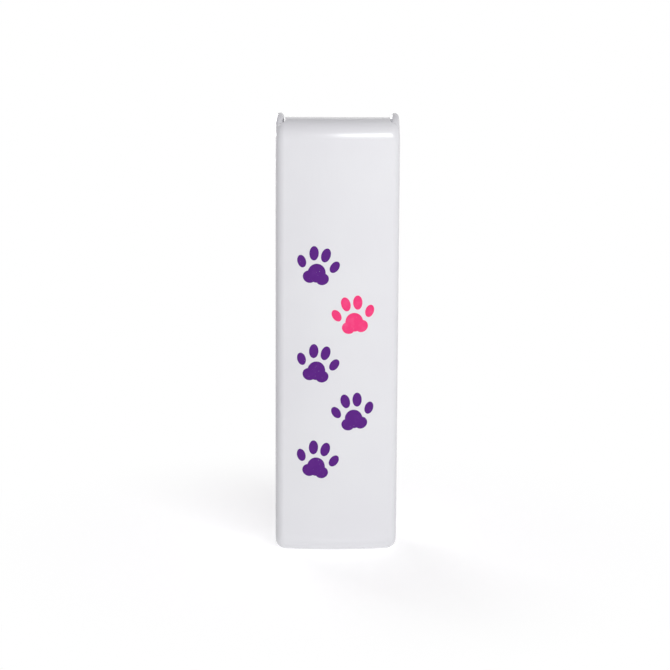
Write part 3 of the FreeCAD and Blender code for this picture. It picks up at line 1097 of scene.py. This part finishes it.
@dataclass
class Studio:
    """The pale floor, the soft lamps and the camera.

    The camera stands at a distance from the point it aims at, in metres, and its turn,
    height and roll are in degrees. The room's light goes from room_front to room_back as Y
    passes the room_rise, and is room_lean stronger toward the right. The floor fades to
    white over the floor_fade, in metres from the case's middle, and seen_glow is what it
    glows more where it is looked at.
    """

    aim: Point = (0.0, 0.0, 0.0625)
    distance: float = 0.590
    turn: float = 1.48
    height: float = 9.83
    roll: float = 0.30
    lens: float = 109.0
    sensor: float = 36.0
    shift: Span = (-0.0013, -0.0048)
    lamps: tuple[Lamp, ...] = (
        Lamp("key", 19.0, 22.0, 1.8, (1.05, 0.5), 21.0),
        Lamp("back", 205.0, 12.0, 1.8, (0.8, 0.9), 18.0),
    )
    room_tint: tuple[float, float, float, float] = (0.97, 0.91, 1.0, 1.0)
    room_front: float = 0.14
    room_back: float = 0.3
    room_rise: Span = (-0.1, 0.9)
    room_lean: float = -0.03
    floor_width: float = 60.0
    floor_colour: float = 0.74
    floor_glow: float = 0.32
    floor_fade: Span = (0.03, 0.12)
    seen_glow: float = 0.25

    def toward(self, azimuth: float, height: float) -> Vector:
        """Work out a direction as seen from the case.

        Args:
            azimuth: How far right of the front it lies, in degrees.
            height: How far up it lies, in degrees.

        Returns:
            The direction, one long.
        """
        turn, rise = math.radians(azimuth), math.radians(height)
        return Vector((math.sin(turn) * math.cos(rise),
                       -math.cos(turn) * math.cos(rise), math.sin(rise)))

    def place_camera(self) -> None:
        """Set the camera where the photograph was taken from."""
        data = bpy.data.cameras.new("camera")
        camera = bpy.data.objects.new("camera", data)
        bpy.context.scene.collection.objects.link(camera)
        away = self.toward(-self.turn, self.height)
        camera.location = Vector(self.aim) + away * self.distance
        camera.rotation_euler = (-away).to_track_quat("-Z", "Y").to_euler()
        camera.rotation_euler.rotate_axis("Z", math.radians(self.roll))
        data.lens = self.lens
        data.sensor_width = self.sensor
        data.shift_x, data.shift_y = self.shift
        bpy.context.scene.camera = camera

    def hang(self, lamp: Lamp) -> None:
        """Hang one lamp.

        Args:
            lamp: The lamp.
        """
        data = bpy.data.lights.new(lamp.name, "AREA")
        data.shape = "RECTANGLE"
        data.size, data.size_y = lamp.size
        data.energy = lamp.power
        light = bpy.data.objects.new(lamp.name, data)
        bpy.context.scene.collection.objects.link(light)
        away = self.toward(lamp.azimuth, lamp.height)
        light.location = Vector(self.aim) + away * lamp.distance
        light.rotation_euler = (-away).to_track_quat("-Z", "Y").to_euler()

    def looked_at(self, graph: Graph) -> Socket:
        """Tell the rays that show a surface from those that only light it.

        Args:
            graph: The node tree that asks.

        Returns:
            1 for rays from the camera, from a reflection or through glass, otherwise 0.
        """
        rays = graph.add("LightPath")
        seen = graph.out(rays, "Is Camera Ray").larger(graph.out(rays, "Is Glossy Ray"))
        return seen.larger(graph.out(rays, "Is Transmission Ray"))

    def background(self) -> None:
        """Make the room white to look at, but light the case with soft grey, brighter behind."""
        world = bpy.data.worlds.new("studio")
        bpy.context.scene.world = world
        world.use_nodes = True
        world.node_tree.nodes.clear()
        graph = Graph(world.node_tree)
        split = graph.add("SeparateXYZ", Vector=graph.out(graph.add("TexCoord"), "Generated"))
        behind = graph.out(split, "Y").rise(*self.room_rise)
        power = behind * (self.room_back - self.room_front) + self.room_front
        power = power + graph.out(split, "X") * self.room_lean
        lit = graph.add("Background", Color=self.room_tint, Strength=power)
        seen = graph.add("Background", Color=(1, 1, 1, 1), Strength=1.0)
        room = graph.choose(self.looked_at(graph), lit, seen)
        graph.add("OutputWorld", Surface=graph.out(room))

    def floor(self) -> None:
        """Lay the floor, which glows to the camera so that it reads as white."""
        bpy.ops.object.select_all(action="DESELECT")
        bpy.ops.mesh.primitive_plane_add(size=self.floor_width, location=(0, 0, 0))
        floor = bpy.context.object
        floor.name = "studio_floor"
        material = bpy.data.materials.new("studio_floor")
        material.use_nodes = True
        material.node_tree.nodes.clear()
        graph = Graph(material.node_tree)
        seen = self.looked_at(graph)
        reach = graph.add("VectorMath", {"operation": "LENGTH"})
        graph.feed(reach, 0, graph.out(graph.add("TexCoord"), "Object"))
        far = graph.out(reach, "Value").rise(*self.floor_fade) * seen
        matt = graph.add("BsdfDiffuse", Color=(self.floor_colour,) * 3 + (1,))
        glow = graph.add("Emission", Strength=seen * self.seen_glow + self.floor_glow)
        near = graph.add("AddShader")
        graph.feed(near, 0, graph.out(matt))
        graph.feed(near, 1, graph.out(glow))
        ground = graph.choose(far, near, graph.add("Emission"))
        graph.add("OutputMaterial", Surface=graph.out(ground))
        dress(floor, material)

    def build(self) -> None:
        """Set up the camera, the lamps, the room and the floor."""
        self.place_camera()
        for lamp in self.lamps:
            self.hang(lamp)
        self.background()
        self.floor()
        bpy.context.scene.view_settings.view_transform = "Standard"


def main() -> None:
    """Set up the studio and build the case in it."""
    logging.basicConfig(level=logging.INFO)
    for part in (Studio(), Shells(), MouldMarks(), HingeParts(), GelRoller(), PawTrail()):
        part.build()
        LOG.info("finished %s", type(part).__name__)


if __name__ == "__main__":
    main()
